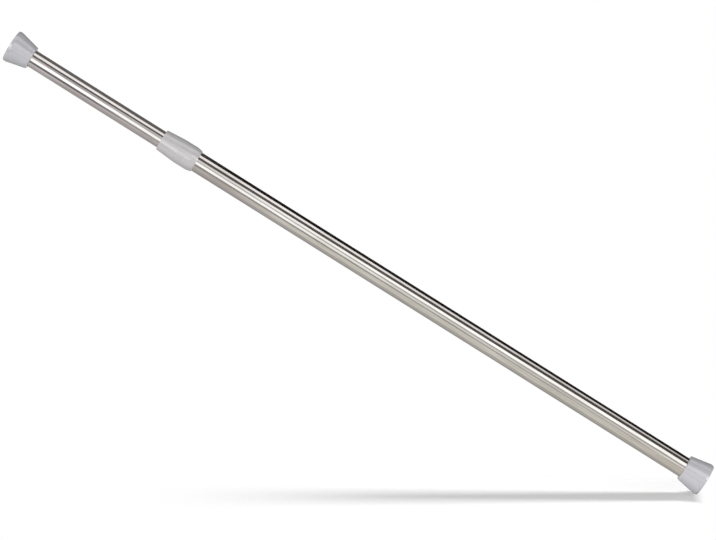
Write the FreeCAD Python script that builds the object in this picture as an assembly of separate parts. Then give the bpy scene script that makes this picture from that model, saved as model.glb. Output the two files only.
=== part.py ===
import FreeCAD, Part
import math
import os

from FreeCAD import Vector

# Spring tension rod, in millimetres.
# The rod axis is X. The origin is the middle of the outer foot's wall face, and the rod runs towards -X.
# Every place below is a distance along the rod, counted from that wall face.

# Tubes
outer_tube_od = 22.0
outer_tube_wall = 0.5
outer_tube_length = 649.0
tube_gap = 1.0                  # radial room between the two tubes
inner_tube_wall = 0.5
inner_tube_length = 556.0
exposed_length = 160.3          # inner tube in view between the collar and its foot, at rest
crimp_depth = 0.5               # rolled groove that holds the guide plug in the inner tube
crimp_width = 3.2
crimp_from_end = 12.0

# Collar over the mouth of the outer tube
collar_guide = 13.2             # length that runs on the inner tube
collar_grip = 30.0              # length over the outer tube
collar_narrow_wall = 2.0
collar_wide_wall = 2.35
collar_swell_length = 22.0      # narrow end to full width
collar_swell_round = 60.0
collar_lip_wall = 0.5
collar_round_length = 6.5       # rounded end over the outer tube
collar_nose_length = 1.6
collar_nose_drop = 0.85
collar_round = 9.0
collar_nose_round = 2.4
collar_edge_round = 0.7

# Feet
foot_floor = 7.0                # between the wall and the end plug
foot_mouth_round = 1.2
foot_lead_in = 0.7
foot_groove_first = 7.0         # grip grooves in the wall face
foot_groove_pitch = 5.0
foot_groove_width = 1.2
foot_groove_depth = 0.8
outer_foot_length = 26.0
outer_foot_rim_od = 36.1
outer_foot_rim_height = 2.6
outer_foot_rim_step = 1.0
outer_foot_rim_round = 2.4
outer_foot_mouth_wall = 2.9
inner_foot_length = 25.5
inner_foot_rim_od = 35.4
inner_foot_rim_height = 2.8
inner_foot_rim_step = 0.6
inner_foot_rim_round = 5.0
inner_foot_mouth_wall = 2.85

# End plugs under the feet
end_plug_flange = 1.5
end_plug_spigot = 14.0
end_plug_wall = 1.6
end_plug_floor = 2.0

# Guide plug in the inner end of the inner tube
guide_flange = 5.0
guide_spigot = 24.0
pilot_length = 4.0              # bosses that centre the spring

# Spring and its seats
spring_length = 60.0            # as fitted
spring_turns = 5.0
spring_wire = 1.5
spring_wire_sides = 8
spring_room = 2.2               # radial room between the spring and the outer tube
pilot_clearance = 0.25
spring_washer_thickness = 1.0
spring_washer_margin = 1.0
washer_clearance = 0.15

# Spindle
shank_od = 8.0
shank_flat_depth = 0.8
shoulder_thickness = 4.0
thread_od = 10.0
thrust_washer_thickness = 1.0
spindle_tip = 2.5
spindle_tail = 3.0

# Clips in the spindle's grooves
clip_thickness = 1.0
clip_groove_depth = 0.9
clip_rim = 2.6
clip_mouth_share = 0.85         # mouth width over groove diameter
retaining_washer_thickness = 1.0
retaining_washer_rim = 3.4

# Split expander sleeve, its drag ring and the cone that spreads it
sleeve_length = 32.0
sleeve_finger_wall = 1.7
sleeve_taper_length = 18.0
sleeve_slot_length = 24.0
sleeve_slot_width = 1.8
sleeve_slot_hole = 2.6
sleeve_slot_pairs = 2
sleeve_grip_pitch = 6.0
sleeve_grip_width = 1.2
sleeve_grip_depth = 0.5
thread_room = 0.6               # radial room round the thread in the sleeve
drag_ring_section = 1.6         # square band
drag_ring_from_end = 3.0
drag_ring_room = 0.15
cone_engage = 14.0
cone_gap = 1.0
cone_flange = 5.0
cone_flange_inset = 1.0
cone_key_length = 10.0
cone_key_inset = 0.6
release_travel = 3.75           # cone withdraws this far when the lock is undone
stop_margin = 0.75

inside_chamfer = 0.8            # edges of the pieces inside the tubes

# Clearances
seat_clearance = 0.05           # pieces pushed together and left
slide_clearance = 0.1           # plastic gliding on a tube
grip_clearance = 0.08           # sleeve to outer tube
thread_clearance = 0.08
cone_clearance = 0.06
key_clearance = 0.15
shank_clearance = 0.1
clip_clearance = 0.05

# Radii that follow
outer_r = outer_tube_od / 2
outer_bore_r = outer_r - outer_tube_wall
inner_r = outer_bore_r - tube_gap
inner_bore_r = inner_r - inner_tube_wall
spring_outer_r = outer_bore_r - spring_room
spring_mean_r = spring_outer_r - spring_wire / 2
pilot_r = spring_outer_r - spring_wire - pilot_clearance
spring_washer_r = spring_outer_r + spring_washer_margin
shank_r = shank_od / 2
shank_flat = shank_r - shank_flat_depth
thread_r = thread_od / 2
sleeve_r = outer_bore_r - grip_clearance
sleeve_bore_r = thread_r + thread_room
sleeve_mouth_r = sleeve_r - sleeve_finger_wall
taper = (sleeve_mouth_r - sleeve_bore_r) / sleeve_taper_length
drag_ring_r = outer_bore_r - seat_clearance - drag_ring_section / 2

# Places along the rod that follow
outer_tube_start = foot_floor + end_plug_flange
outer_tube_end = outer_tube_start + outer_tube_length
collar_wide_end = outer_tube_end - collar_grip
collar_narrow_end = outer_tube_end + collar_guide
inner_foot_mouth = collar_narrow_end + exposed_length
rod_length = inner_foot_mouth + inner_foot_length
inner_tube_end = rod_length - foot_floor - end_plug_flange
inner_tube_start = inner_tube_end - inner_tube_length
guide_face = inner_tube_start - guide_flange
spring_start = guide_face - spring_washer_thickness
spring_end = spring_start - spring_length
shoulder_face = spring_end - spring_washer_thickness
thrust_face = shoulder_face - shoulder_thickness
sleeve_start = thrust_face - thrust_washer_thickness
sleeve_mouth = sleeve_start - sleeve_length
cone_flange_face = sleeve_mouth - cone_gap
cone_end = cone_flange_face - cone_flange
stop_clip_face = cone_end - release_travel - stop_margin
spindle_end = stop_clip_face - clip_thickness - spindle_tip
guide_end = inner_tube_start + guide_spigot
retaining_clip_face = guide_end + retaining_washer_thickness
spindle_start = retaining_clip_face + clip_thickness + spindle_tail
crimp_place = inner_tube_start + crimp_from_end
drag_ring_place = sleeve_start - drag_ring_from_end

axis_point = Vector(0, 0, 0)
axis_direction = Vector(1, 0, 0)


def at(along, radius):
    return Vector(-along, 0, radius)


def rounded_corner(before, corner, after, rounding):
    """Start, middle and end of the arc that rounds a corner, kept inside its two edges."""
    to_before = before - corner
    to_after = after - corner
    reach = 0.49 * min(to_before.Length, to_after.Length)
    to_before.normalize()
    to_after.normalize()
    half_angle = to_before.getAngle(to_after) / 2
    setback = min(rounding / math.tan(half_angle), reach)
    radius = setback * math.tan(half_angle)
    bisector = to_before + to_after
    bisector.normalize()
    middle = corner + bisector * (radius / math.sin(half_angle) - radius)
    return corner + to_before * setback, middle, corner + to_after * setback


def turned(corners, rounded=False):
    """Solid of revolution from the corners of its half section: along, radius and an optional edge break.

    The edge break is a chamfer, or an arc of that radius on a rounded piece.
    """
    points = [at(corner[0], corner[1]) for corner in corners]
    edges = []
    starts = []
    ends = []
    for index, corner in enumerate(corners):
        before = points[index - 1]
        point = points[index]
        after = points[(index + 1) % len(points)]
        if len(corner) == 3:
            start, middle, end = rounded_corner(before, point, after, corner[2])
            arc = Part.Arc(start, middle, end) if rounded else Part.LineSegment(start, end)
            edges.append(arc.toShape())
        else:
            start = point
            end = point
        starts.append(start)
        ends.append(end)
    for index, end in enumerate(ends):
        following = starts[(index + 1) % len(starts)]
        edges.append(Part.LineSegment(end, following).toShape())
    section = Part.Face(Part.Wire(Part.__sortEdges__(edges)))
    return section.revolve(axis_point, axis_direction, 360)


def rod(start, end, radius):
    """Plain cylinder on the rod axis."""
    return Part.makeCylinder(radius, abs(end - start), at(max(start, end), 0), axis_direction)


def bar(start, end, width, height):
    """Box centred on the rod axis, between two places along it."""
    corner = Vector(-max(start, end), -width / 2, -height / 2)
    return Part.makeBox(abs(end - start), width, height, corner)


def washer(start, end, bore_r, outside_r):
    return turned([(start, bore_r), (start, outside_r), (end, outside_r), (end, bore_r)])


def outer_tube():
    return washer(outer_tube_start, outer_tube_end, outer_bore_r, outer_r)


def crimp_corners(radius):
    """V groove rolled into a wall of the given radius, from the inner end outwards."""
    half = crimp_width / 2
    return [(crimp_place - half, radius), (crimp_place, radius - crimp_depth), (crimp_place + half, radius)]


def inner_tube():
    outside = [(inner_tube_start, inner_r)] + crimp_corners(inner_r) + [(inner_tube_end, inner_r)]
    inside = [(inner_tube_start, inner_bore_r)] + crimp_corners(inner_bore_r)
    inside.append((inner_tube_end, inner_bore_r))
    return turned(outside + inside[::-1])


def collar():
    narrow_bore_r = inner_r + slide_clearance
    seat_r = outer_r + seat_clearance
    wide_r = outer_r + collar_wide_wall
    full_width = collar_narrow_end - collar_swell_length
    return turned([
        (collar_narrow_end, narrow_bore_r),
        (collar_narrow_end, narrow_bore_r + collar_narrow_wall, collar_edge_round),
        (full_width, wide_r, collar_swell_round),
        (collar_wide_end + collar_round_length, wide_r, collar_round),
        (collar_wide_end + collar_nose_length, wide_r - collar_nose_drop, collar_nose_round),
        (collar_wide_end, seat_r + collar_lip_wall),
        (collar_wide_end, seat_r),
        (outer_tube_end, seat_r),
        (outer_tube_end, narrow_bore_r),
    ], rounded=True)


def foot(face, inward, length, rim, mouth_wall, tube_r):
    """Flared soft foot: grip rings on the wall face, a rounded rim, and a socket for the tube."""
    rim_r, rim_height, rim_step, rim_round = rim
    land_r = rim_r - rim_step
    socket_r = tube_r + seat_clearance
    corners = [(0, 0)]
    groove_r = foot_groove_first
    while groove_r + foot_groove_width < land_r:
        corners.append((0, groove_r - foot_groove_width / 2))
        corners.append((foot_groove_depth, groove_r))
        corners.append((0, groove_r + foot_groove_width / 2))
        groove_r += foot_groove_pitch
    corners.append((0, land_r))
    corners.append((rim_height, rim_r, rim_round))
    corners.append((length, socket_r + mouth_wall, foot_mouth_round))
    corners.append((length, socket_r + foot_lead_in))
    corners.append((length - foot_lead_in, socket_r))
    corners.append((foot_floor, socket_r))
    corners.append((foot_floor, 0))
    return turned([(face + inward * corner[0],) + corner[1:] for corner in corners], rounded=True)


def outer_foot():
    rim = (outer_foot_rim_od / 2, outer_foot_rim_height, outer_foot_rim_step, outer_foot_rim_round)
    return foot(0, 1, outer_foot_length, rim, outer_foot_mouth_wall, outer_r)


def inner_foot():
    rim = (inner_foot_rim_od / 2, inner_foot_rim_height, inner_foot_rim_step, inner_foot_rim_round)
    return foot(rod_length, -1, inner_foot_length, rim, inner_foot_mouth_wall, inner_r)


def end_plug(face, inward, tube_r, bore_r):
    """Cup that closes a tube end, flange against the foot."""
    spigot_r = bore_r - seat_clearance
    tip = end_plug_flange + end_plug_spigot
    corners = [
        (0, 0),
        (0, tube_r),
        (end_plug_flange, tube_r),
        (end_plug_flange, spigot_r),
        (tip, spigot_r, end_plug_wall / 2),
        (tip, spigot_r - end_plug_wall),
        (end_plug_floor, spigot_r - end_plug_wall),
        (end_plug_floor, 0),
    ]
    return turned([(face + inward * corner[0],) + corner[1:] for corner in corners])


def outer_end_plug():
    return end_plug(foot_floor, 1, outer_r, outer_bore_r)


def inner_end_plug():
    return end_plug(rod_length - foot_floor, -1, inner_r, inner_bore_r)


def double_flat(start, end, radius, flat):
    """Round bar with two flats, as on the spindle's shank."""
    return rod(start, end, radius).common(bar(start, end, 2 * flat, 4 * radius))


def guide_plug():
    spigot_r = inner_bore_r - seat_clearance
    flange_r = outer_bore_r - slide_clearance
    pilot_tip = guide_face - pilot_length
    corners = [(pilot_tip, 0), (pilot_tip, pilot_r, inside_chamfer), (guide_face, pilot_r)]
    corners += [(guide_face, flange_r, inside_chamfer), (inner_tube_start, flange_r)]
    corners += [(inner_tube_start, spigot_r)] + crimp_corners(spigot_r)
    corners += [(guide_end, spigot_r, inside_chamfer), (guide_end, 0)]
    hole = double_flat(pilot_tip, guide_end, shank_r + shank_clearance, shank_flat + shank_clearance)
    return turned(corners).cut(hole)


def spring():
    """Compression spring with ends ground flat. The wire's round section has a few flats of the same area."""
    pitch = spring_length / spring_turns
    coil_length = spring_length + 2 * spring_wire
    coil = Part.makeHelix(pitch, coil_length, spring_mean_r)
    rise = Vector(0, 2 * math.pi * spring_mean_r, pitch)
    rise.normalize()
    outward = Vector(1, 0, 0)
    upward = rise.cross(outward)
    side_angle = 2 * math.pi / spring_wire_sides
    corner_r = spring_wire / 2 * math.sqrt(side_angle / math.sin(side_angle))
    corners = []
    for index in range(spring_wire_sides + 1):
        angle = side_angle * (index + 0.5)
        corner = outward * math.cos(angle) + upward * math.sin(angle)
        corners.append(outward * spring_mean_r + corner * corner_r)
    wire = Part.Wire(coil).makePipeShell([Part.makePolygon(corners)], True, True)
    wire.rotate(axis_point, Vector(0, 1, 0), 90)
    wire.translate(at(spring_start + spring_wire, 0))
    return wire.common(rod(spring_start, spring_end, spring_outer_r + spring_wire))


def front_spring_washer():
    return washer(guide_face, spring_start, pilot_r + washer_clearance, spring_washer_r)


def rear_spring_washer():
    return washer(spring_end, shoulder_face, pilot_r + washer_clearance, spring_washer_r)


def thrust_washer():
    return washer(thrust_face, sleeve_start, thread_r + washer_clearance, spring_washer_r)


def retaining_washer():
    return washer(guide_end, retaining_clip_face, shank_r + washer_clearance, shank_r + retaining_washer_rim)


def clip(start, end, seat_r):
    """Sheet clip that snaps sideways into a groove: a ring with a mouth and two relief notches."""
    hole_r = seat_r + clip_clearance
    rim_r = seat_r + clip_groove_depth + clip_rim
    ring = washer(start, end, hole_r, rim_r)
    mouth = bar(start, end, 2 * seat_r * clip_mouth_share, 2 * rim_r)
    mouth.translate(Vector(0, 0, rim_r))
    ring = ring.cut(mouth)
    notch_r = clip_rim / 3
    for side in (-1, 1):
        notch = rod(start, end, notch_r)
        notch.translate(Vector(0, side * hole_r, 0))
        ring = ring.cut(notch)
    return ring


def retaining_clip():
    return clip(retaining_clip_face, retaining_clip_face + clip_thickness, shank_flat - clip_groove_depth / 2)


def stop_clip():
    return clip(stop_clip_face - clip_thickness, stop_clip_face, thread_r - clip_groove_depth)


def groove_corners(start, end, radius, floor_r):
    return [(start, radius), (start, floor_r), (end, floor_r), (end, radius)]


def spindle():
    """Flatted shank for the guide plug, a shoulder for the spring, and the screw that drives the cone."""
    pilot_tip = shoulder_face + pilot_length
    retaining_end = retaining_clip_face + clip_thickness
    corners = [(spindle_start, 0), (spindle_start, shank_r, inside_chamfer)]
    corners += groove_corners(retaining_end, retaining_clip_face, shank_r, shank_flat - clip_groove_depth / 2)
    corners += [(pilot_tip, shank_r), (pilot_tip, pilot_r, inside_chamfer), (shoulder_face, pilot_r)]
    corners += [(shoulder_face, spring_washer_r), (thrust_face, spring_washer_r), (thrust_face, thread_r)]
    corners += groove_corners(stop_clip_face, stop_clip_face - clip_thickness, thread_r, thread_r - clip_groove_depth)
    corners += [(spindle_end, thread_r, inside_chamfer), (spindle_end, 0)]
    blank = turned(corners)
    shank = rod(pilot_tip, spindle_start, 2 * shank_r)
    return blank.cut(shank.cut(bar(pilot_tip, spindle_start, 2 * shank_flat, 4 * shank_r)))


def expander_sleeve():
    """Plastic sleeve slit into fingers, which the cone spreads against the outer tube."""
    ring_half = drag_ring_section / 2 + drag_ring_room
    ring_floor = drag_ring_r - drag_ring_section / 2 - seat_clearance
    slot_end = sleeve_mouth + sleeve_slot_length
    corners = [(sleeve_start, sleeve_bore_r), (sleeve_start, sleeve_r, inside_chamfer)]
    corners += groove_corners(drag_ring_place + ring_half, drag_ring_place - ring_half, sleeve_r, ring_floor)
    grip = slot_end - sleeve_grip_pitch
    while grip - sleeve_grip_width > sleeve_mouth:
        corners.append((grip + sleeve_grip_width / 2, sleeve_r))
        corners.append((grip, sleeve_r - sleeve_grip_depth))
        corners.append((grip - sleeve_grip_width / 2, sleeve_r))
        grip -= sleeve_grip_pitch
    corners += [(sleeve_mouth, sleeve_r), (sleeve_mouth, sleeve_mouth_r)]
    corners += [(sleeve_mouth + sleeve_taper_length, sleeve_bore_r)]
    sleeve = turned(corners)
    for index in range(sleeve_slot_pairs):
        slot = bar(sleeve_mouth, slot_end, 4 * sleeve_r, sleeve_slot_width)
        hole = Part.makeCylinder(sleeve_slot_hole / 2, 4 * sleeve_r, Vector(-slot_end, -2 * sleeve_r, 0), Vector(0, 1, 0))
        for cut in (slot, hole):
            cut.rotate(axis_point, axis_direction, 180 * index / sleeve_slot_pairs)
            sleeve = sleeve.cut(cut)
    return sleeve


def drag_ring():
    half = drag_ring_section / 2
    return washer(drag_ring_place + half, drag_ring_place - half, drag_ring_r - half, drag_ring_r + half)


def cone_radius(along):
    return sleeve_mouth_r - taper * (along - sleeve_mouth) - cone_clearance


def cone_nut():
    """Cone on the spindle's screw, keyed in the sleeve's slots so that it slides and can't turn."""
    cone_tip = sleeve_mouth + cone_engage
    flange_r = sleeve_r - cone_flange_inset
    nut = turned([
        (cone_tip, 0),
        (cone_tip, cone_radius(cone_tip)),
        (cone_flange_face, cone_radius(cone_flange_face)),
        (cone_flange_face, flange_r),
        (cone_end, flange_r, inside_chamfer),
        (cone_end, 0),
    ])
    key_end = sleeve_mouth + cone_key_length
    key_outside = rod(cone_flange_face, key_end, sleeve_r - cone_key_inset)
    for index in range(sleeve_slot_pairs):
        key = bar(cone_flange_face, key_end, 4 * sleeve_r, sleeve_slot_width - 2 * key_clearance)
        key.rotate(axis_point, axis_direction, 180 * index / sleeve_slot_pairs)
        nut = nut.fuse(key.common(key_outside))
    return nut.cut(rod(cone_end, cone_tip, thread_r + thread_clearance)).removeSplitter()


builders = (
    outer_tube, collar, outer_foot, outer_end_plug,
    inner_tube, inner_foot, inner_end_plug, guide_plug,
    spring, front_spring_washer, rear_spring_washer,
    spindle, thrust_washer, retaining_washer, retaining_clip, stop_clip,
    expander_sleeve, drag_ring, cone_nut,
)

os.makedirs("parts", exist_ok=True)
for builder in builders:
    shape = builder()
    shape.exportStep("parts/" + builder.__name__ + ".step")
    print(builder.__name__, len(shape.Solids), "solid,", round(shape.Volume / 1000, 3), "cm3")
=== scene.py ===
import math

import bmesh
import bpy
from mathutils import Matrix, Vector


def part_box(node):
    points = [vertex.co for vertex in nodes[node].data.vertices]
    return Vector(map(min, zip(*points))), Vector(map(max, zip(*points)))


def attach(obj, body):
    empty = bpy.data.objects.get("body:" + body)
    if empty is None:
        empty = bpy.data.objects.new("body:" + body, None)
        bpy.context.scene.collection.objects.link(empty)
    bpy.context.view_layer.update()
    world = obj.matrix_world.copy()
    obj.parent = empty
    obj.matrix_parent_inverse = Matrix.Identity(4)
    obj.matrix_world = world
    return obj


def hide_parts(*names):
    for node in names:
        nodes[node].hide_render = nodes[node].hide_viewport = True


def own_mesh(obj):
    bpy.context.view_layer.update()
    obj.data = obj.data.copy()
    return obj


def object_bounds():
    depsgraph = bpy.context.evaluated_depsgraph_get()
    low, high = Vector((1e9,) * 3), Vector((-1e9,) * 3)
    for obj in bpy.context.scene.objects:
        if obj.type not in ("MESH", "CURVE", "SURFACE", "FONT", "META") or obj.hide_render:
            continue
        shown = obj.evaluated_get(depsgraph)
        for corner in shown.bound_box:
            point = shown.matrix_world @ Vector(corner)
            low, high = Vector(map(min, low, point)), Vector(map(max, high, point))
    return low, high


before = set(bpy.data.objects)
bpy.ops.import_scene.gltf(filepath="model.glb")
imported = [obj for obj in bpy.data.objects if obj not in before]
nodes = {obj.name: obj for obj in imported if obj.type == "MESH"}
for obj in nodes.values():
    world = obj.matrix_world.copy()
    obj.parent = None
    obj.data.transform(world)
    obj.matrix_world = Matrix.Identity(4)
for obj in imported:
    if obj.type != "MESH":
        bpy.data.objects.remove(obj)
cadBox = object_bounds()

mm = 0.001
samePoint = 1e-6  # points nearer than this are one point, in metres
weldGap = 2e-6  # points nearer than this are merged, in metres
sharpAngle = math.radians(35)  # edges sharper than this stay crisp
faceWeight = 100  # the large faces set the shading, so small edge rounds don't bend it
frameDigits = 3  # places read from the frame are kept to the micrometre


def alongRod(x):  # every place along the rod is in mm from the outer foot's wall face
    return round(-x / mm, frameDigits)


def nodeSpan(name):  # where a solid starts and ends along the rod
    low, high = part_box(name)
    return alongRod(high.x), alongRod(low.x)


rodLength = alongRod(cadBox[0][0])  # wall face to wall face


# hand tools

def deselectAll():
    if bpy.context.mode != "OBJECT":
        bpy.ops.object.mode_set(mode="OBJECT")
    bpy.ops.object.select_all(action="DESELECT")


def pickPoints(piece, wanted):
    mesh = bmesh.from_edit_mesh(piece.data)
    for point in mesh.verts:
        point.select_set(wanted(point.co))
    mesh.select_flush_mode()
    bmesh.update_edit_mesh(piece.data)


def sectionPoint(along, radius):
    return Vector((-along * mm, 0, radius * mm))


def startPoint(name, place):
    deselectAll()
    bpy.ops.mesh.primitive_plane_add(size=mm, location=(0, 0, 0))
    piece = bpy.context.object
    piece.name = name
    piece.data.name = name
    bpy.ops.object.mode_set(mode="EDIT")
    bpy.ops.mesh.select_mode(type="VERT")
    bpy.ops.mesh.select_all(action="SELECT")
    bpy.ops.mesh.merge(type="CENTER")  # the plane shrinks to the first point of the section
    bpy.ops.transform.translate(value=place)
    return piece


def drawSection(name, corners, closed):
    # a corner is its place along the rod and its radius, and for a round one also the rounding and its steps
    points = [sectionPoint(*corner[:2]) for corner in corners]
    piece = startPoint(name, points[0])
    for before, after in zip(points, points[1:]):
        bpy.ops.mesh.extrude_region_move(TRANSFORM_OT_translate={"value": after - before})
    if closed:
        first, last = points[0], points[-1]
        pickPoints(piece, lambda co: min((co - first).length, (co - last).length) < samePoint)
        bpy.ops.mesh.edge_face_add()
    for index, corner in enumerate(corners):
        if len(corner) == 2:
            continue
        rounding, steps = corner[2:]
        place = points[index]
        toBefore = (points[index - 1] - place).normalized()
        toAfter = (points[(index + 1) % len(points)] - place).normalized()
        setback = rounding * mm / math.tan(toBefore.angle(toAfter) / 2)  # corner to where the round starts
        pickPoints(piece, lambda co: (co - place).length < samePoint)
        bpy.ops.mesh.bevel(offset_type="ABSOLUTE", offset=setback, segments=steps, affect="VERTICES")
    return piece


def weldAndSmooth():
    bpy.ops.mesh.select_all(action="SELECT")
    bpy.ops.mesh.remove_doubles(threshold=weldGap)
    bpy.ops.mesh.normals_make_consistent(inside=False)
    bpy.ops.object.mode_set(mode="OBJECT")
    bpy.ops.object.shade_smooth_by_angle(angle=sharpAngle)


def turnSection(piece, steps):
    bpy.ops.mesh.select_all(action="SELECT")
    bpy.ops.mesh.spin(steps=steps, angle=2 * math.pi, center=(0, 0, 0), axis=(1, 0, 0))
    weldAndSmooth()
    shading = piece.modifiers.new("trueFaces", "WEIGHTED_NORMAL")
    shading.keep_sharp = True
    shading.weight = faceWeight
    bpy.ops.object.modifier_apply(modifier=shading.name)
    return piece


def settle(piece, part):
    piece.data.materials.clear()
    piece.data.materials.append(materials[part["finish"]])
    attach(piece, part["body"])
    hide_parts(part["node"])
    print("piece", piece.name, len(piece.data.polygons), "faces")


# finishes

nodeStep = 200  # spacing in the node editor
maskMiddle = 0.5  # a noise mask wavers about this
maskReach = {"tone": 0.3, "gloss": 0.25}  # how far from its middle a mask is spread to full
usualGloss = {"specular": 0.5, "ior": 1.5}


def addNode(tree, kind, column, row, values=None, **settings):
    node = tree.nodes.new(kind)
    node.location = (column * nodeStep, row * nodeStep)
    for key, value in settings.items():
        setattr(node, key, value)
    for socketName, value in (values or {}).items():
        node.inputs[socketName].default_value = value
    return node


def connect(tree, *wires):
    for source, target in wires:
        tree.links.new(source, target)


def newGroup(name, inputs, outputs):
    group = bpy.data.node_groups.new(name, "ShaderNodeTree")
    for socketName, value in inputs.items():
        socket = group.interface.new_socket(name=socketName, in_out="INPUT", socket_type="NodeSocketFloat")
        socket.default_value = value
    for socketName in outputs:
        group.interface.new_socket(name=socketName, in_out="OUTPUT", socket_type="NodeSocketFloat")
    return group, addNode(group, "NodeGroupInput", -4, 0), addNode(group, "NodeGroupOutput", 1, 0)


def makeDrawnGrain():  # streaks along the rod, as the drawing die and the polishing belt leave them
    group, start, end = newGroup(
        "drawnGrain", {"Along": 4.0, "Across": 900.0, "Patch": 14.0}, ("Streak", "Cloud"))
    place = addNode(group, "ShaderNodeTexCoord", -4, -1)
    stretch = addNode(group, "ShaderNodeCombineXYZ", -3, 1)
    scaled = addNode(group, "ShaderNodeVectorMath", -2, 1, operation="MULTIPLY")
    streak = addNode(group, "ShaderNodeTexNoise", -1, 1, {"Scale": 1, "Detail": 4, "Roughness": 0.65})
    cloud = addNode(group, "ShaderNodeTexNoise", -1, -1, {"Detail": 3})
    connect(
        group,
        (start.outputs["Along"], stretch.inputs["X"]),
        (start.outputs["Across"], stretch.inputs["Y"]),
        (start.outputs["Across"], stretch.inputs["Z"]),
        (place.outputs["Object"], scaled.inputs[0]),
        (stretch.outputs["Vector"], scaled.inputs[1]),
        (scaled.outputs["Vector"], streak.inputs["Vector"]),
        (place.outputs["Object"], cloud.inputs["Vector"]),
        (start.outputs["Patch"], cloud.inputs["Scale"]),
        (streak.outputs["Fac"], end.inputs["Streak"]),
        (cloud.outputs["Fac"], end.inputs["Cloud"]),
    )
    return group


def makeMouldSkin():  # fine spark-eroded skin of a mould, with slow flow marks
    group, start, end = newGroup("mouldSkin", {"Grain": 2600.0, "Flow": 70.0}, ("Grain", "Flow"))
    place = addNode(group, "ShaderNodeTexCoord", -4, -1)
    grain = addNode(group, "ShaderNodeTexNoise", -1, 1, {"Detail": 2})
    flow = addNode(group, "ShaderNodeTexNoise", -1, -1, {"Detail": 4, "Distortion": 0.6})
    for texture, name in ((grain, "Grain"), (flow, "Flow")):
        connect(
            group,
            (place.outputs["Object"], texture.inputs["Vector"]),
            (start.outputs[name], texture.inputs["Scale"]),
            (texture.outputs["Fac"], end.inputs[name]),
        )
    return group


drawnGrain = makeDrawnGrain()
mouldSkin = makeMouldSkin()


def makeFinish(name, group, finish):
    # the group's first mask drives roughness and bump, and both its masks the colour
    look = {**usualGloss, **finish}
    material = bpy.data.materials.new(name)
    material.use_nodes = True
    tree = material.node_tree
    shader = tree.nodes["Principled BSDF"]
    shader.inputs["Metallic"].default_value = look["metallic"]
    shader.inputs["Specular IOR Level"].default_value = look["specular"]
    shader.inputs["IOR"].default_value = look["ior"]
    texture = addNode(tree, "ShaderNodeGroup", -4, 0, node_tree=group)
    for socketName, value in look["pattern"].items():
        texture.inputs[socketName].default_value = value
    fine, broad = texture.outputs[0], texture.outputs[1]
    tone = addNode(tree, "ShaderNodeMath", -3, 1, {1: look["toneFine"]}, operation="MULTIPLY_ADD")
    toneMiddle = maskMiddle * (1 + look["toneFine"])
    spread = addNode(tree, "ShaderNodeMapRange", -2, 1, {
        "From Min": toneMiddle - maskReach["tone"], "From Max": toneMiddle + maskReach["tone"]})
    colour = addNode(tree, "ShaderNodeMix", -1, 1, data_type="RGBA")
    colour.inputs["A"].default_value = (*look["dark"], 1)
    colour.inputs["B"].default_value = (*look["light"], 1)
    gloss = addNode(tree, "ShaderNodeMapRange", -2, 0, {
        "From Min": maskMiddle - maskReach["gloss"], "From Max": maskMiddle + maskReach["gloss"],
        "To Min": look["roughness"][0], "To Max": look["roughness"][1]})
    bump = addNode(tree, "ShaderNodeBump", -1, -1, {
        "Strength": look["bump"], "Distance": look["bumpDepth"] * mm})
    connect(
        tree,
        (fine, tone.inputs[0]),
        (broad, tone.inputs[2]),
        (tone.outputs[0], spread.inputs["Value"]),
        (spread.outputs["Result"], colour.inputs["Factor"]),
        (colour.outputs["Result"], shader.inputs["Base Color"]),
        (fine, gloss.inputs["Value"]),
        (gloss.outputs["Result"], shader.inputs["Roughness"]),
        (fine, bump.inputs["Height"]),
        (bump.outputs["Normal"], shader.inputs["Normal"]),
    )
    return material


finishes = {  # bump depths in mm
    "brightSteel": (drawnGrain, {
        "metallic": 1.0, "pattern": {"Along": 40.0, "Across": 700.0, "Patch": 9.0}, "toneFine": 1.6,
        "dark": (0.685, 0.665, 0.64), "light": (0.90, 0.885, 0.86), "roughness": (0.06, 0.12),
        "bump": 0.06, "bumpDepth": 0.05}),
    "greyPlastic": (mouldSkin, {
        "metallic": 0.0, "specular": 1.0, "ior": 1.6,
        "pattern": {"Grain": 2600.0, "Flow": 70.0}, "toneFine": 0.25,
        "dark": (0.505, 0.496, 0.499), "light": (0.552, 0.542, 0.546), "roughness": (0.11, 0.14),
        "bump": 0.008, "bumpDepth": 0.03}),
    "greyFoot": (mouldSkin, {
        "metallic": 0.0, "specular": 1.0, "ior": 1.6,
        "pattern": {"Grain": 1900.0, "Flow": 55.0}, "toneFine": 0.25,
        "dark": (0.473, 0.475, 0.501), "light": (0.523, 0.524, 0.556), "roughness": (0.14, 0.17),
        "bump": 0.01, "bumpDepth": 0.03}),
    "whiteNylon": (mouldSkin, {
        "metallic": 0.0, "pattern": {"Grain": 2200.0, "Flow": 90.0}, "toneFine": 0.2,
        "dark": (0.74, 0.73, 0.68), "light": (0.82, 0.81, 0.77), "roughness": (0.38, 0.5),
        "bump": 0.1, "bumpDepth": 0.05}),
    "platedSteel": (drawnGrain, {
        "metallic": 1.0, "pattern": {"Along": 500.0, "Across": 160.0, "Patch": 120.0}, "toneFine": 0.5,
        "dark": (0.52, 0.53, 0.56), "light": (0.68, 0.68, 0.68), "roughness": (0.22, 0.36),
        "bump": 0.1, "bumpDepth": 0.04}),
    "springSteel": (drawnGrain, {
        "metallic": 1.0, "pattern": {"Along": 160.0, "Across": 420.0, "Patch": 150.0}, "toneFine": 0.5,
        "dark": (0.34, 0.34, 0.35), "light": (0.47, 0.47, 0.48), "roughness": (0.26, 0.4),
        "bump": 0.1, "bumpDepth": 0.04}),
    "blackRubber": (mouldSkin, {
        "metallic": 0.0, "pattern": {"Grain": 1500.0, "Flow": 120.0}, "toneFine": 0.3,
        "dark": (0.022, 0.022, 0.022), "light": (0.045, 0.044, 0.043), "roughness": (0.55, 0.75),
        "bump": 0.25, "bumpDepth": 0.06}),
}
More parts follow.
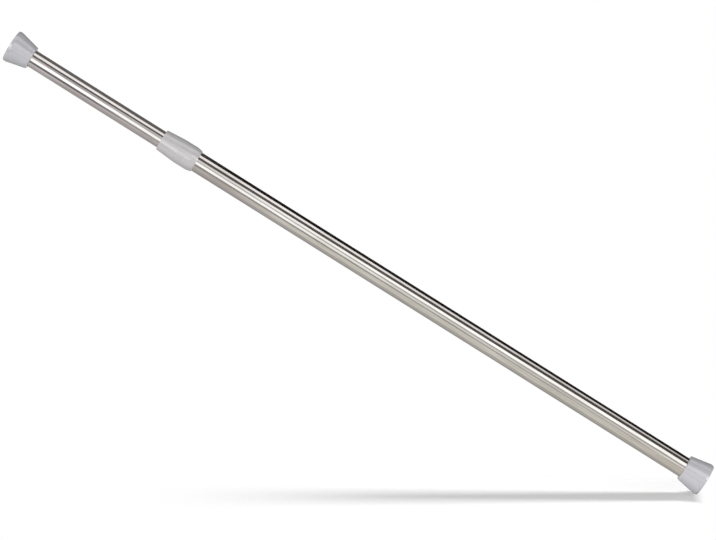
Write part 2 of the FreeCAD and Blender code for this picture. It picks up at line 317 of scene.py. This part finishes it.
materials = {name: makeFinish(name, group, finish) for name, (group, finish) in finishes.items()}
print("finishes", len(materials))


# tubes, in mm; every round below is its radius and its steps

outerTube = {"node": "outer_tube", "body": "outer_rod", "slot": "bright_steel", "finish": "brightSteel",
             "radius": 11.0, "wall": 0.5, "edgeRound": (0.18, 3), "steps": 128}
innerTube = {"node": "inner_tube", "body": "inner_rod", "slot": "bright_steel", "finish": "brightSteel",
             "radius": 9.5, "wall": 0.5, "edgeRound": (0.18, 3), "steps": 128,
             "crimpFromEnd": 12.0, "crimpWidth": 3.2, "crimpDepth": 0.5, "crimpRound": (0.5, 3)}


def makeOuterTube(tube):
    start, end = nodeSpan(tube["node"])
    radius, bore = tube["radius"], tube["radius"] - tube["wall"]
    piece = drawSection("outerTube", [
        (start, bore),
        (start, radius, *tube["edgeRound"]),
        (end, radius, *tube["edgeRound"]),
        (end, bore),
    ], closed=True)
    return turnSection(piece, tube["steps"])


def makeInnerTube(tube):
    start, end = nodeSpan(tube["node"])
    radius, bore = tube["radius"], tube["radius"] - tube["wall"]
    crimp, half, depth = start + tube["crimpFromEnd"], tube["crimpWidth"] / 2, tube["crimpDepth"]
    piece = drawSection("innerTube", [
        (start, radius, *tube["edgeRound"]),
        (crimp - half, radius, *tube["crimpRound"]),  # the crimp holds the guide plug
        (crimp, radius - depth, *tube["crimpRound"]),
        (crimp + half, radius, *tube["crimpRound"]),
        (end, radius, *tube["edgeRound"]),
        (end, bore),
        (crimp + half, bore),
        (crimp, bore - depth),
        (crimp - half, bore),
        (start, bore),
    ], closed=True)
    return turnSection(piece, tube["steps"])


settle(makeOuterTube(outerTube), outerTube)
settle(makeInnerTube(innerTube), innerTube)


# collar, in mm

collar = {"node": "collar", "body": "outer_rod", "slot": "grey_plastic", "finish": "greyPlastic",
          "guideRoom": 0.1, "guideRound": (0.25, 2), "seatRoom": 0.05,
          "narrowRadius": 11.6, "narrowRound": (0.7, 5),
          "wideRadius": 13.35, "swellLength": 22.0, "swellRound": (60.0, 10),
          "noseStart": 6.5, "noseStartRound": (9.0, 5),
          "noseEnd": 1.6, "noseDrop": 0.85, "noseRound": (2.4, 6),
          "lipRadius": 11.55, "lipRound": (0.2, 2), "steps": 128}


def makeCollar(part):
    wideEnd, narrowEnd = nodeSpan(part["node"])
    tubeEnd = nodeSpan(outerTube["node"])[1]  # the tube's mouth stops at the step inside the collar
    guide, seat = innerTube["radius"] + part["guideRoom"], outerTube["radius"] + part["seatRoom"]
    piece = drawSection("collarSleeve", [
        (narrowEnd, guide, *part["guideRound"]),
        (narrowEnd, part["narrowRadius"], *part["narrowRound"]),
        (narrowEnd - part["swellLength"], part["wideRadius"], *part["swellRound"]),
        (wideEnd + part["noseStart"], part["wideRadius"], *part["noseStartRound"]),
        (wideEnd + part["noseEnd"], part["wideRadius"] - part["noseDrop"], *part["noseRound"]),
        (wideEnd, part["lipRadius"], *part["lipRound"]),
        (wideEnd, seat),
        (tubeEnd, seat),
        (tubeEnd, guide),
    ], closed=True)
    return turnSection(piece, part["steps"])


settle(makeCollar(collar), collar)


# feet, in mm

footForm = {"floor": 7.0, "socketRoom": 0.05, "faceRound": (0.4, 4), "mouthRound": (1.2, 7),
            "leadIn": 0.7, "leadRound": (0.3, 3),
            "firstGroove": 7.0, "groovePitch": 5.0, "grooveWidth": 1.2, "grooveDepth": 0.8, "steps": 128}
outerFoot = {"node": "outer_foot", "body": "outer_rod", "slot": "grey_foot", "finish": "greyFoot",
             "wallAtStart": True, "mouthRadius": 13.95,
             "rimRadius": 18.05, "rimHeight": 2.6, "rimStep": 1.0, "rimRound": (2.4, 6)}
innerFoot = {"node": "inner_foot", "body": "inner_rod", "slot": "grey_foot", "finish": "greyFoot",
             "wallAtStart": False, "mouthRadius": 12.4,
             "rimRadius": 17.7, "rimHeight": 2.8, "rimStep": 0.6, "rimRound": (5.0, 6)}


def makeFoot(name, foot, tube, form):
    start, end = nodeSpan(foot["node"])
    length, socket = end - start, tube["radius"] + form["socketRoom"]
    wall, inward = (start, 1) if foot["wallAtStart"] else (end, -1)
    land = foot["rimRadius"] - foot["rimStep"]
    corners = [(0, 0)]
    groove, half = form["firstGroove"], form["grooveWidth"] / 2
    while groove + form["grooveWidth"] < land:  # shallow rings that grip the wall
        corners += [(0, groove - half), (form["grooveDepth"], groove), (0, groove + half)]
        groove += form["groovePitch"]
    corners += [
        (0, land, *form["faceRound"]),
        (foot["rimHeight"], foot["rimRadius"], *foot["rimRound"]),
        (length, foot["mouthRadius"], *form["mouthRound"]),
        (length, socket + form["leadIn"], *form["leadRound"]),
        (length - form["leadIn"], socket),
        (form["floor"], socket),
        (form["floor"], 0),
    ]
    section = [(wall + inward * corner[0], *corner[1:]) for corner in corners]
    piece = drawSection(name, section, closed=False)  # it starts and ends on the axis, so it turns closed
    return turnSection(piece, form["steps"])


settle(makeFoot("outerFoot", outerFoot, outerTube, footForm), outerFoot)
settle(makeFoot("innerFoot", innerFoot, innerTube, footForm), innerFoot)


# spring, in mm: it shortens as the feet are pressed, so it is the one piece inside that is modelled again

springCoil = {"node": "spring", "body": "spindle", "slot": "spring_steel", "finish": "springSteel",
              "wire": 1.5, "meanRadius": 7.55, "pitch": 12.0, "spare": 1.5, "pressedLength": 35.0,
              "wireSides": 16, "stepsPerTurn": 48}
springRear, springFront = nodeSpan(springCoil["node"])


def makeSpring(coil):
    sweep = springFront - springRear + 2 * coil["spare"]  # wound a little long, for grinding
    turns = sweep / coil["pitch"]
    lead = math.atan(coil["pitch"] / (2 * math.pi * coil["meanRadius"]))
    wireStart = (-(springFront + coil["spare"]) * mm, 0, -coil["meanRadius"] * mm)
    deselectAll()
    bpy.ops.mesh.primitive_circle_add(
        vertices=coil["wireSides"], radius=coil["wire"] / 2 * mm, fill_type="NOTHING",
        location=wireStart, rotation=(math.pi / 2, 0, 0))
    piece = bpy.context.object
    piece.name = "coilSpring"
    piece.data.name = "coilSpring"
    piece.scale.x = 1 / math.cos(lead)  # the wire is cut slantwise by the turning plane
    bpy.ops.object.transform_apply(location=True, rotation=True, scale=True)
    winding = piece.modifiers.new("winding", "SCREW")
    winding.axis = "X"
    winding.angle = 2 * math.pi * turns
    winding.screw_offset = sweep * mm
    winding.iterations = 1
    winding.steps = round(turns * coil["stepsPerTurn"])
    winding.render_steps = winding.steps
    bpy.ops.object.modifier_apply(modifier=winding.name)
    bpy.ops.object.mode_set(mode="EDIT")
    for along, keepsFront in ((springFront, False), (springRear, True)):  # both ends ground flat
        bpy.ops.mesh.select_all(action="SELECT")
        bpy.ops.mesh.bisect(
            plane_co=(-along * mm, 0, 0), plane_no=(1, 0, 0), use_fill=True, threshold=samePoint,
            clear_inner=not keepsFront, clear_outer=keepsFront)
    weldAndSmooth()
    return piece


coilSpring = makeSpring(springCoil)
settle(coilSpring, springCoil)
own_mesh(coilSpring)


# the other pieces inside the tubes keep their solids and get their finishes

insideFinishes = {
    "whiteNylon": ("outer_end_plug", "inner_end_plug", "guide_plug", "expander_sleeve", "cone_nut"),
    "platedSteel": ("spindle", "front_spring_washer", "rear_spring_washer", "thrust_washer",
                    "retaining_washer"),
    "springSteel": ("retaining_clip", "stop_clip"),
    "blackRubber": ("drag_ring",),
}
for finishName, names in insideFinishes.items():
    for name in names:
        node = nodes[name]
        node.data.materials.clear()
        node.data.materials.append(materials[finishName])
print("inside pieces finished")


# camera; from here on sizes and places are in metres

cameraSet = {
    "tilt": 32.10,  # slope of the rod in the picture, in degrees
    "distance": 3.4,
    "pixelsPerMetre": 955.9,
    "rodMiddle": (358.26, 263.0),  # pixel where the middle of the rod is seen
    "image": (716, 540),
    "sensor": 36.0,
    "clipEnd": 50,
}
tilt = math.radians(cameraSet["tilt"])
imageRight = Vector((math.cos(tilt), 0, math.sin(tilt)))
imageUp = Vector((-math.sin(tilt), 0, math.cos(tilt)))
toCamera = Vector((0, -1, 0))
rodMiddle = Vector((-rodLength * mm / 2, 0, 0))


def fromMiddle(right, forward, up):
    return rodMiddle + imageRight * right + toCamera * forward + imageUp * up


def placeMatrix(place, right, up, back):
    return Matrix.Translation(place) @ Matrix((right, up, back)).transposed().to_4x4()


def makeCamera(view):
    scale, (width, height) = view["pixelsPerMetre"], view["image"]
    data = bpy.data.cameras.new("camera")
    data.sensor_fit = "HORIZONTAL"
    data.sensor_width = view["sensor"]
    data.lens = scale * view["distance"] * view["sensor"] / width
    data.clip_end = view["clipEnd"]
    right = (view["rodMiddle"][0] - width / 2) / scale
    down = (view["rodMiddle"][1] - height / 2) / scale
    camera = bpy.data.objects.new("camera", data)
    place = fromMiddle(-right, view["distance"], down)
    camera.matrix_world = placeMatrix(place, imageRight, imageUp, toCamera)
    bpy.context.collection.objects.link(camera)
    bpy.context.scene.camera = camera
    print("camera", round(data.lens, 1), "mm lens")


makeCamera(cameraSet)


# floor, world and lamps

floorSet = {
    "lean": 18.0,  # how far it tips towards the camera, in degrees
    "size": 2.4,
    "colour": (0.80, 0.80, 0.80),
    "rimRoom": 1.95,  # mm between the outer foot's rim and the floor
    "fadeAlong": (-0.60, -0.27),  # each fade goes from none of the floor to all of it
    "fadeRight": (0.0, -0.016),
    "fadeDeep": (0.058, 0.034),
}
worldSet = {"background": 1.0, "fill": 0.36, "colour": (1.0, 1.0, 1.0)}
lampSet = {  # place from the middle of the rod: along the picture, towards the camera, up the picture
    "front": {"place": (0.3, 1.7, 0.35), "size": (1.8, 0.9), "power": 14.8, "shadow": False},
    "low": {"place": (-0.25, 1.2, -1.2), "size": (1.8, 0.9), "power": 10.5, "colour": (1.0, 0.99, 1.02)},
    "back": {"place": (0.0, -1.8, -0.2), "size": (1.8, 0.9), "power": 22.0},
    "rightEnd": {"place": (1.6, 0.5, -0.2), "size": (0.8, 0.8), "power": 6.0},
    "leftEnd": {"place": (-1.6, 0.5, 0.7), "size": (0.8, 0.8), "power": 10.0},
    "sky": {"place": (0.0, 0.0, 1.6), "size": (1.4, 0.20), "power": 22.0, "floorOnly": True},
}
usualLamp = {"colour": (1.0, 1.0, 1.0), "shadow": True, "floorOnly": False}
nearlyInLine = 0.9  # cosine past which a lamp shines along the picture's width and is squared to its height


def makeFloor(setup, foot):
    lean = math.radians(setup["lean"])
    normal = imageUp * math.cos(lean) + toCamera * math.sin(lean)
    reach = (foot["rimRadius"] + setup["rimRoom"]) * mm
    touch = -normal.x * foot["rimHeight"] * mm - reach * math.hypot(normal.y, normal.z)
    deselectAll()
    bpy.ops.mesh.primitive_plane_add(size=setup["size"], location=(0, 0, 0))
    floor = bpy.context.object
    floor.name = "floor"
    floor.matrix_world = placeMatrix(normal * touch, imageRight, normal.cross(imageRight), normal)
    material = bpy.data.materials.new("floorPaper")
    material.use_nodes = True
    tree = material.node_tree
    paper = tree.nodes["Principled BSDF"]
    paper.inputs["Base Color"].default_value = (*setup["colour"], 1)
    paper.inputs["Roughness"].default_value = 1.0
    paper.inputs["Specular IOR Level"].default_value = 0.0
    clear = addNode(tree, "ShaderNodeBsdfTransparent", 0, -2)
    side = addNode(tree, "ShaderNodeNewGeometry", -3, 4)
    front = addNode(tree, "ShaderNodeMath", -2, 4, {0: 1}, operation="SUBTRACT")  # clear from below
    place = addNode(tree, "ShaderNodeTexCoord", -5, 2)
    split = addNode(tree, "ShaderNodeSeparateXYZ", -4, 2)
    deep = addNode(tree, "ShaderNodeMath", -4, 1, operation="ABSOLUTE")
    pick = addNode(tree, "ShaderNodeMixShader", 2, 1)
    connect(
        tree,
        (side.outputs["Backfacing"], front.inputs[1]),
        (place.outputs["Object"], split.inputs[0]),
        (split.outputs["Y"], deep.inputs[0]),
    )
    shown = front.outputs[0]
    fades = (
        (split.outputs["X"], setup["fadeAlong"]),
        (split.outputs["X"], setup["fadeRight"]),
        (deep.outputs[0], setup["fadeDeep"]),
    )
    for index, (source, (none, full)) in enumerate(fades):  # the paper melts into the white behind it
        fade = addNode(tree, "ShaderNodeMapRange", -3, 3 - index, {"From Min": none, "From Max": full},
                       interpolation_type="SMOOTHSTEP")
        both = addNode(tree, "ShaderNodeMath", -2, 3 - index, operation="MULTIPLY")
        connect(
            tree,
            (source, fade.inputs["Value"]),
            (fade.outputs["Result"], both.inputs[0]),
            (shown, both.inputs[1]),
        )
        shown = both.outputs[0]
    connect(
        tree,
        (shown, pick.inputs["Fac"]),
        (clear.outputs["BSDF"], pick.inputs[1]),
        (paper.outputs["BSDF"], pick.inputs[2]),
        (pick.outputs["Shader"], tree.nodes["Material Output"].inputs["Surface"]),
    )
    floor.data.materials.append(material)
    floor.visible_glossy = False
    return floor


def makeWorld(setup):
    world = bpy.data.worlds.new("studio")
    bpy.context.scene.world = world
    world.use_nodes = True
    tree = world.node_tree
    tree.nodes.clear()
    path = addNode(tree, "ShaderNodeLightPath", -3, 1)
    seen = addNode(tree, "ShaderNodeMath", -2, 1, operation="MAXIMUM")
    clear = addNode(tree, "ShaderNodeMath", -1, 1, operation="MAXIMUM")
    colour = (*setup["colour"], 1)
    white = addNode(tree, "ShaderNodeBackground", -1, 0, {"Strength": setup["background"], "Color": colour})
    fill = addNode(tree, "ShaderNodeBackground", -1, -1, {"Strength": setup["fill"], "Color": colour})
    mix = addNode(tree, "ShaderNodeMixShader", 0, 0)
    out = addNode(tree, "ShaderNodeOutputWorld", 1, 0)
    connect(
        tree,
        (path.outputs["Is Camera Ray"], seen.inputs[0]),
        (path.outputs["Is Glossy Ray"], seen.inputs[1]),
        (seen.outputs[0], clear.inputs[0]),
        (path.outputs["Is Transmission Ray"], clear.inputs[1]),
        (clear.outputs[0], mix.inputs["Fac"]),
        (fill.outputs[0], mix.inputs[1]),
        (white.outputs[0], mix.inputs[2]),
        (mix.outputs[0], out.inputs["Surface"]),
    )


def addPanel(name, setup, floor):
    lamp = {**usualLamp, **setup}
    data = bpy.data.lights.new(name, "AREA")
    data.shape = "RECTANGLE"
    data.size, data.size_y = lamp["size"]
    data.energy = lamp["power"]
    data.color = lamp["colour"]
    data.use_shadow = lamp["shadow"]
    panel = bpy.data.objects.new(name, data)
    place = fromMiddle(*lamp["place"])
    back = (place - rodMiddle).normalized()  # it faces the middle of the rod
    right = imageRight if abs(back.dot(imageRight)) < nearlyInLine else imageUp
    up = back.cross(right).normalized()
    panel.matrix_world = placeMatrix(place, up.cross(back), up, back)
    panel.visible_camera = False
    panel.visible_glossy = False
    bpy.context.collection.objects.link(panel)
    if lamp["floorOnly"]:  # throws the rod's shadow on the floor and lights nothing else
        receivers = bpy.data.collections.new("floorOnly")
        receivers.objects.link(floor)
        panel.light_linking.receiver_collection = receivers


floor = makeFloor(floorSet, outerFoot)
makeWorld(worldSet)
for lampName, lamp in lampSet.items():
    addPanel(lampName, lamp, floor)
print("stage set,", len(lampSet), "lamps")


# reflection cards: glowing strips along the rod that light nothing and that the bright tubes mirror, so their
# stripes are painted reflections
# each runs from its top edge down to its bottom edge, in degrees about the rod: 0 towards the camera, 90 up
# spans, fades and stations are X in the frame, where the rod mirrors them, the inner foot's side first

tent = {"distance": 0.85, "fade": (-0.771, -0.086), "columns": 70, "rows": 12}
innerEnd, outerEnd = -1.85, 0.95  # the cards reach past both ends of the rod
collarJoin = -0.64  # cards for the inner tube meet those for the outer tube here, behind the collar
keyJoin, bounceJoin = -0.16, -0.12  # where a strip's two cards meet, near the outer foot
stations = (-0.814, -0.686, -0.606, -0.102, -0.060)  # inner end, collar's two sides, outer end, its foot
edges = {  # five angles at the stations, or one all along
    "behind": 220,
    "backTop": 192,
    "backFoot": 172,
    "topStrip": (83, 81.5, 90.5, 101, 98.5),
    "topStripFoot": (48.5, 50.5, 60.5, 79.5, 81.5),
    "keyTop": (26, 29.5, 31, 46, 47.8),
    "keyFoot": (7.5, 9, 11, 16.5, 16.5),
    "gapFoot": (3.5, -1, -0.5, -4, -2.5),
    "lowTop": (-33.5, -31.5, -26.5, -17.5, -19),
    "lowFoot": (-60, -57, -46.5, -23.5, -22.5),
    "bounceTop": -85,
    "bounceFoot": -118,
    "below": -140,
    "innerGlintTop": 6,
    "innerGlintFoot": -16,
    "outerGlintTop": 36,
    "outerGlintFoot": 12,
    "collarGlintTop": -10,
    "collarGlintFoot": -21,
}
cards = {  # glow at the inner and the outer end of the fade, or inner alone where it doesn't change
    "backPaper": {
        "between": ("behind", "backTop"), "inner": (0.36, 0.35, 0.34)},
    "backStrip": {
        "between": ("backTop", "backFoot"), "inner": (0.90, 0.88, 0.87)},
    "topFlag": {
        "between": ("backFoot", "topStrip"), "fade": (-0.694, -0.582),
        "inner": (0.14, 0.13, 0.125), "outer": (0.015, 0.012, 0.011)},
    "topStrip": {
        "between": ("topStrip", "topStripFoot"), "fade": (-0.566, -0.086),
        "inner": (1.06, 1.03, 1.03), "outer": (0.73, 0.71, 0.70)},
    "upperFlag": {
        "between": ("topStripFoot", "keyTop"),
        "inner": (0.12, 0.111, 0.108), "outer": (0.08, 0.074, 0.07)},
    "keyRight": {
        "between": ("keyTop", "keyFoot"), "fade": (-0.782, -0.422),
        "inner": (0.48, 0.464, 0.459), "outer": (1.28, 1.27, 1.25)},
    "gap": {
        "between": ("keyFoot", "gapFoot"),
        "inner": (0.56, 0.545, 0.535), "outer": (0.50, 0.48, 0.465)},
    "keyLeft": {
        "between": ("gapFoot", "lowTop"), "span": (innerEnd, keyJoin), "fade": (-0.662, -0.214),
        "distance": 1.7, "tuck": 1.5,
        "inner": (1.25, 1.25, 1.26), "outer": (0.70, 0.672, 0.645)},
    "keyLeftEnd": {
        "between": ("gapFoot", "lowTop"), "span": (keyJoin, outerEnd), "fade": (keyJoin, -0.05),
        "distance": 1.7, "tuck": 1.5,
        "inner": (0.70, 0.672, 0.645), "outer": (0.86, 0.835, 0.80)},
    "lowFlagInner": {
        "between": ("lowTop", "lowFoot"), "span": (innerEnd, collarJoin), "fade": (-0.774, -0.690),
        "inner": (0.17, 0.157, 0.162), "outer": (0.43, 0.411, 0.388)},
    "lowFlagOuter": {
        "between": ("lowTop", "lowFoot"), "span": (collarJoin, outerEnd),
        "inner": (0.33, 0.314, 0.296), "outer": (0.35, 0.336, 0.317)},
    "bounceInner": {
        "between": ("lowFoot", "bounceTop"), "span": (innerEnd, collarJoin), "fade": (-0.760, -0.680),
        "inner": (0.585, 0.544, 0.557), "outer": (0.55, 0.51, 0.515)},
    "bounceOuter": {
        "between": ("lowFoot", "bounceTop"), "span": (collarJoin, bounceJoin), "fade": (-0.620, -0.500),
        "inner": (0.535, 0.495, 0.468), "outer": (0.675, 0.65, 0.595)},
    "bounceOuterEnd": {
        "between": ("lowFoot", "bounceTop"), "span": (bounceJoin, outerEnd), "fade": (bounceJoin, -0.05),
        "inner": (0.675, 0.65, 0.595), "outer": (0.605, 0.57, 0.52)},
    "bounceFar": {
        "between": ("bounceTop", "bounceFoot"),
        "inner": (0.45, 0.42, 0.43), "outer": (0.47, 0.455, 0.42)},
    "bounceBack": {
        "between": ("bounceFoot", "below"),
        "inner": (0.36, 0.345, 0.34), "outer": (0.36, 0.35, 0.33)},
    # the glint cards glow brightly so that the feet's rims and the collar's slope mirror them as painted
    # glints
    "innerGlint": {
        "between": ("innerGlintTop", "innerGlintFoot"), "span": (-1.70, -1.02), "distance": 0.80,
        "inner": (3.0, 3.0, 3.0)},
    "outerGlint": {
        "between": ("outerGlintTop", "outerGlintFoot"), "span": (0.26, 0.90), "distance": 0.80,
        "inner": (3.0, 3.0, 3.0)},
    "collarGlint": {
        "between": ("collarGlintTop", "collarGlintFoot"), "span": (-0.80, -0.735), "distance": 0.80,
        "inner": (2.3, 2.3, 2.3)},
}
usualCard = {"span": (innerEnd, outerEnd), "fade": tent["fade"], "distance": tent["distance"], "tuck": 0}


def edgeAngle(edge, along):
    angles = edges[edge]
    if not isinstance(angles, tuple):
        return angles
    if along <= stations[0]:
        return angles[0]
    for index in range(1, len(stations)):
        if along <= stations[index]:
            share = (along - stations[index - 1]) / (stations[index] - stations[index - 1])
            return angles[index - 1] + (angles[index] - angles[index - 1]) * share
    return angles[-1]


def mirroredAt(along, distance):  # where a card lies that the camera sees mirrored at this place of the rod
    return rodMiddle.x + (along - rodMiddle.x) * (1 + distance / cameraSet["distance"])


def makeCard(name, setup):
    look = {**usualCard, "outer": setup["inner"], **setup}
    top, bottom = look["between"]
    first, last = look["span"]
    distance, tuck = look["distance"], look["tuck"]  # a tuck slips both long edges behind the next cards
    deselectAll()
    bpy.ops.mesh.primitive_grid_add(x_subdivisions=tent["columns"], y_subdivisions=tent["rows"], size=1)
    card = bpy.context.object
    card.name = "card." + name
    for point in card.data.vertices:
        lengthShare, heightShare = point.co.x + 0.5, point.co.y + 0.5  # the grid is 1 m wide about its middle
        along = first + lengthShare * (last - first)
        upper, lower = edgeAngle(top, along) + tuck, edgeAngle(bottom, along) - tuck
        angle = math.radians(lower + (upper - lower) * heightShare)
        forward, high = math.cos(angle) * distance, math.sin(angle) * distance
        point.co = Vector((mirroredAt(along, distance), -forward, high))
    material = bpy.data.materials.new("card." + name)
    material.use_nodes = True
    tree = material.node_tree
    tree.nodes.clear()
    place = addNode(tree, "ShaderNodeTexCoord", -4, 0)
    split = addNode(tree, "ShaderNodeSeparateXYZ", -3, 0)
    fadeFrom, fadeTo = (mirroredAt(along, distance) for along in look["fade"])
    fade = addNode(tree, "ShaderNodeMapRange", -2, 0, {"From Min": fadeFrom, "From Max": fadeTo},
                   interpolation_type="SMOOTHSTEP")
    glow = addNode(tree, "ShaderNodeMix", -1, 0, data_type="RGBA")
    glow.inputs["A"].default_value = (*look["inner"], 1)
    glow.inputs["B"].default_value = (*look["outer"], 1)
    shine = addNode(tree, "ShaderNodeEmission", 0, 0)
    out = addNode(tree, "ShaderNodeOutputMaterial", 1, 0)
    connect(
        tree,
        (place.outputs["Object"], split.inputs[0]),
        (split.outputs["X"], fade.inputs["Value"]),
        (fade.outputs["Result"], glow.inputs["Factor"]),
        (glow.outputs["Result"], shine.inputs["Color"]),
        (shine.outputs[0], out.inputs["Surface"]),
    )
    material.cycles.emission_sampling = "NONE"  # a card is only ever mirrored, so it is no lamp to sample
    card.data.materials.append(material)
    card.visible_camera = False
    card.visible_diffuse = False
    card.visible_shadow = False
    card.visible_transmission = False
    card.visible_volume_scatter = False


for cardName, card in cards.items():
    makeCard(cardName, card)
print("cards", len(cards))

bpy.context.scene.view_settings.view_transform = "Standard"

deselectAll()
